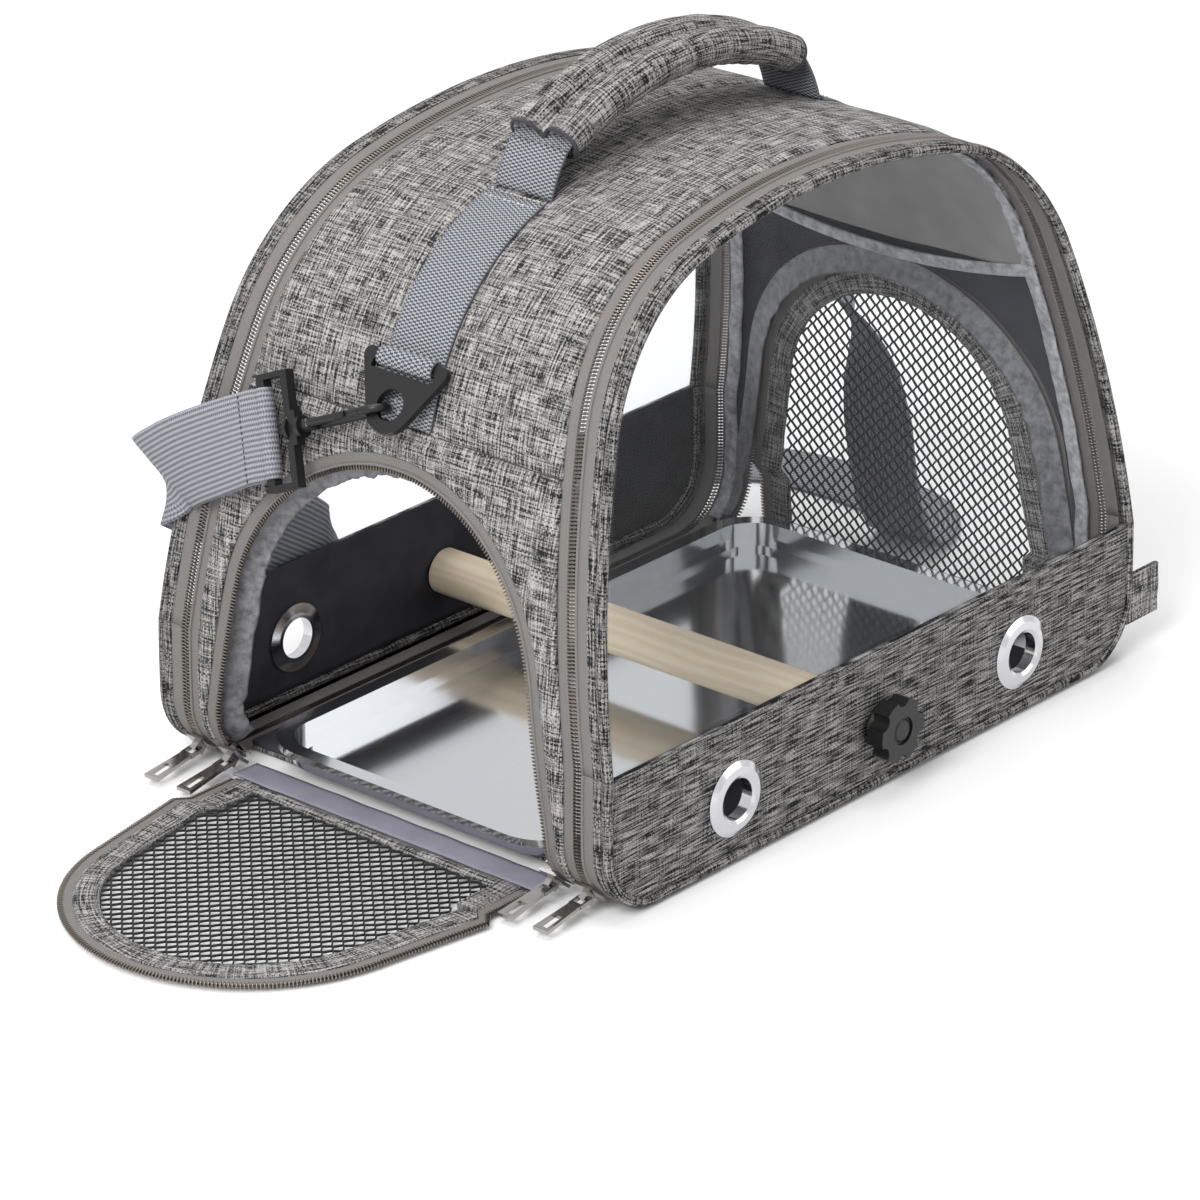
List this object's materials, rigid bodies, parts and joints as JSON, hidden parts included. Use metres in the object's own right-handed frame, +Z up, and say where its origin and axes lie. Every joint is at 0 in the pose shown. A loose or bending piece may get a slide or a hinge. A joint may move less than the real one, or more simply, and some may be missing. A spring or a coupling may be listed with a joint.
{
  "type": "bird travel carrier",
  "caption": "Soft tunnel-shaped travel carrier for small birds: heather fabric shell, clear zipped faces, mesh end doors, perch, tray, top handle and clip-on shoulder strap.",
  "frame": {"origin": "centre of the underside of the base", "axes": "+X to the right along the clear front face, the front face looks towards -Y, +Z up"},
  "size_m": [0.5722, 0.3178, 0.2957],
  "materials": {
    "heather_fabric": "woven melange",
    "lining_fabric": "smooth weave",
    "opening_binding": "ruffled binding",
    "sill_fabric": "smooth weave",
    "zip_tape": "woven tape",
    "webbing": "woven webbing",
    "net": "knitted net",
    "black_plastic": "satin",
    "eyelet_metal": "polished",
    "zip_metal": "polished",
    "clear_sheet": "glossy",
    "perch_wood": "sanded",
    "tray_steel": "polished"
  },
  "bodies": {
    "carrier": {"base_panel": "heather_fabric", "base_board": "lining_fabric", "upper_gusset": "heather_fabric", "left_end_panel": "heather_fabric", "right_end_panel": "heather_fabric", "roof_lining": "lining_fabric", "front_gusset_zip": "zip_tape", "back_gusset_zip": "zip_tape", "front_band": "heather_fabric", "back_band": "heather_fabric", "band_linings": "lining_fabric", "front_band_piping": "heather_fabric", "back_band_piping": "heather_fabric", "eyelets": "eyelet_metal", "eyelet_washers": "eyelet_metal", "perch": "perch_wood", "left_opening_zip": "zip_tape", "right_opening_zip": "zip_tape", "opening_bindings": "opening_binding", "sill_strips": "sill_fabric", "side_webbing": "webbing", "left_ring": "black_plastic", "right_ring": "black_plastic", "shoulder_strap": "webbing", "left_hook": "black_plastic", "left_hook_frame": "black_plastic", "right_hook": "black_plastic", "right_hook_frame": "black_plastic", "corner_tab": "heather_fabric"},
    "handle": {"handle_webbing": "webbing", "handle_sleeve": "heather_fabric"},
    "glide": {"tri_glide": "black_plastic"},
    "pad": {"shoulder_pad": "heather_fabric"},
    "left_gate": {"left_hook_gate": "black_plastic"},
    "right_gate": {"right_hook_gate": "black_plastic"},
    "knob_front": {"front_knob": "black_plastic"},
    "knob_back": {"back_knob": "black_plastic"},
    "tray": {"tray": "tray_steel"},
    "front_window": {"front_window_sheet": "clear_sheet", "front_window_piping": "heather_fabric", "front_window_zip": "zip_tape"},
    "back_window": {"back_window_sheet": "clear_sheet", "back_window_piping": "heather_fabric", "back_window_zip": "zip_tape"},
    "left_door": {"left_door_net": "net", "left_door_binding": "heather_fabric", "left_door_zip": "zip_tape"},
    "right_door": {"right_door_net": "net", "right_door_binding": "heather_fabric", "right_door_zip": "zip_tape"},
    "front_zip_slider": {"front_slider": "zip_metal"},
    "front_zip_pull": {"front_pull": "zip_metal"},
    "back_zip_slider": {"back_slider": "zip_metal"},
    "back_zip_pull": {"back_pull": "zip_metal"},
    "left_front_zip_slider": {"left_front_slider": "zip_metal"},
    "left_front_zip_pull": {"left_front_pull": "zip_metal"},
    "left_rear_zip_slider": {"left_rear_slider": "zip_metal"},
    "left_rear_zip_pull": {"left_rear_pull": "zip_metal"},
    "right_zip_slider": {"right_slider": "zip_metal"},
    "right_zip_pull": {"right_pull": "zip_metal"}
  },
  "joints": [
    {"name": "front_window_fold", "type": "hinge", "parent": "carrier", "child": "front_window", "pos_m": [0, -0.1215, 0.06215], "axis": [-1, 0, 0], "range_deg": [-114, 0]},
    {"name": "back_window_fold", "type": "hinge", "parent": "carrier", "child": "back_window", "pos_m": [0, 0.1215, 0.06215], "axis": [1, 0, 0], "range_deg": [-114, 0], "deforming": ["shoulder_strap"]},
    {"name": "left_door_fold", "type": "hinge", "parent": "carrier", "child": "left_door", "pos_m": [-0.168, 0, 0.0038], "axis": [0, 1, 0], "range_deg": [0, 95.3]},
    {"name": "right_door_fold", "type": "hinge", "parent": "carrier", "child": "right_door", "pos_m": [0.168, 0, 0.0038], "axis": [0, -1, 0], "range_deg": [-95.3, 0], "deforming": ["shoulder_strap"]},
    {"name": "tray_slide", "type": "slide", "parent": "carrier", "child": "tray", "axis": [1, 0, 0], "range_m": [-0.3, 0]},
    {"name": "handle_swing", "type": "hinge", "parent": "carrier", "child": "handle", "pos_m": [0.004, 0, 0.249], "axis": [1, 0, 0], "range_deg": [-25, 25], "deforming": ["handle_webbing"]},
    {"name": "left_gate_spring", "type": "hinge", "parent": "carrier", "child": "left_gate", "pos_m": [-0.16695, 0.03645, 0.16913], "axis": [0.2956, 0.4067, 0.8644], "range_deg": [0, 12], "stiffness_Nm_per_rad": 0.02},
    {"name": "right_gate_spring", "type": "hinge", "parent": "carrier", "child": "right_gate", "pos_m": [0.16695, 0.03645, 0.16913], "axis": [0.2956, -0.4067, -0.8644], "range_deg": [0, 12], "stiffness_Nm_per_rad": 0.02},
    {"name": "front_knob_turn", "type": "hinge", "parent": "carrier", "child": "knob_front", "pos_m": [0, -0.125, 0.028], "axis": [0, 1, 0], "continuous": true},
    {"name": "back_knob_turn", "type": "hinge", "parent": "carrier", "child": "knob_back", "pos_m": [0, 0.125, 0.028], "axis": [0, 1, 0], "continuous": true},
    {"name": "glide_slide", "type": "slide", "parent": "carrier", "child": "glide", "axis": [1, 0, 0], "range_m": [-0.003, 0.008]},
    {"name": "pad_slide", "type": "slide", "parent": "carrier", "child": "pad", "axis": [1, 0, 0], "range_m": [-0.008, 0.01]},
    {"name": "front_slider_run", "type": "hinge", "parent": "carrier", "child": "front_zip_slider", "pos_m": [-0.14, -0.1053, 0.03], "axis": [0, 1, 0], "range_deg": [0, 33]},
    {"name": "front_pull_swing", "type": "hinge", "parent": "front_zip_slider", "child": "front_zip_pull", "pos_m": [-0.16403, -0.1053, 0.0068], "axis": [0, 1, 0], "range_deg": [0, 62]},
    {"name": "back_slider_run", "type": "hinge", "parent": "carrier", "child": "back_zip_slider", "pos_m": [-0.14, 0.1053, 0.03], "axis": [0, 1, 0], "range_deg": [0, 33]},
    {"name": "back_pull_swing", "type": "hinge", "parent": "back_zip_slider", "child": "back_zip_pull", "pos_m": [-0.16403, 0.1053, 0.0068], "axis": [0, 1, 0], "range_deg": [0, 62]},
    {"name": "left_front_slider_run", "type": "hinge", "parent": "carrier", "child": "left_front_zip_slider", "pos_m": [-0.14, -0.087, 0.03], "axis": [0, 1, 0], "range_deg": [0, 33]},
    {"name": "left_front_pull_swing", "type": "hinge", "parent": "left_front_zip_slider", "child": "left_front_zip_pull", "pos_m": [-0.16403, -0.087, 0.0068], "axis": [0, 1, 0], "range_deg": [0, 62]},
    {"name": "left_rear_slider_run", "type": "hinge", "parent": "carrier", "child": "left_rear_zip_slider", "pos_m": [-0.14, 0.087, 0.03], "axis": [0, 1, 0], "range_deg": [0, 33]},
    {"name": "left_rear_pull_swing", "type": "hinge", "parent": "left_rear_zip_slider", "child": "left_rear_zip_pull", "pos_m": [-0.16403, 0.087, 0.0068], "axis": [0, 1, 0], "range_deg": [0, 62]},
    {"name": "right_slider_run", "type": "hinge", "parent": "carrier", "child": "right_zip_slider", "pos_m": [0.14, -0.087, 0.03], "axis": [0, -1, 0], "range_deg": [0, 33]},
    {"name": "right_pull_swing", "type": "hinge", "parent": "right_zip_slider", "child": "right_zip_pull", "pos_m": [0.16403, -0.087, 0.0068], "axis": [0, -1, 0], "range_deg": [0, 62]}
  ]
}
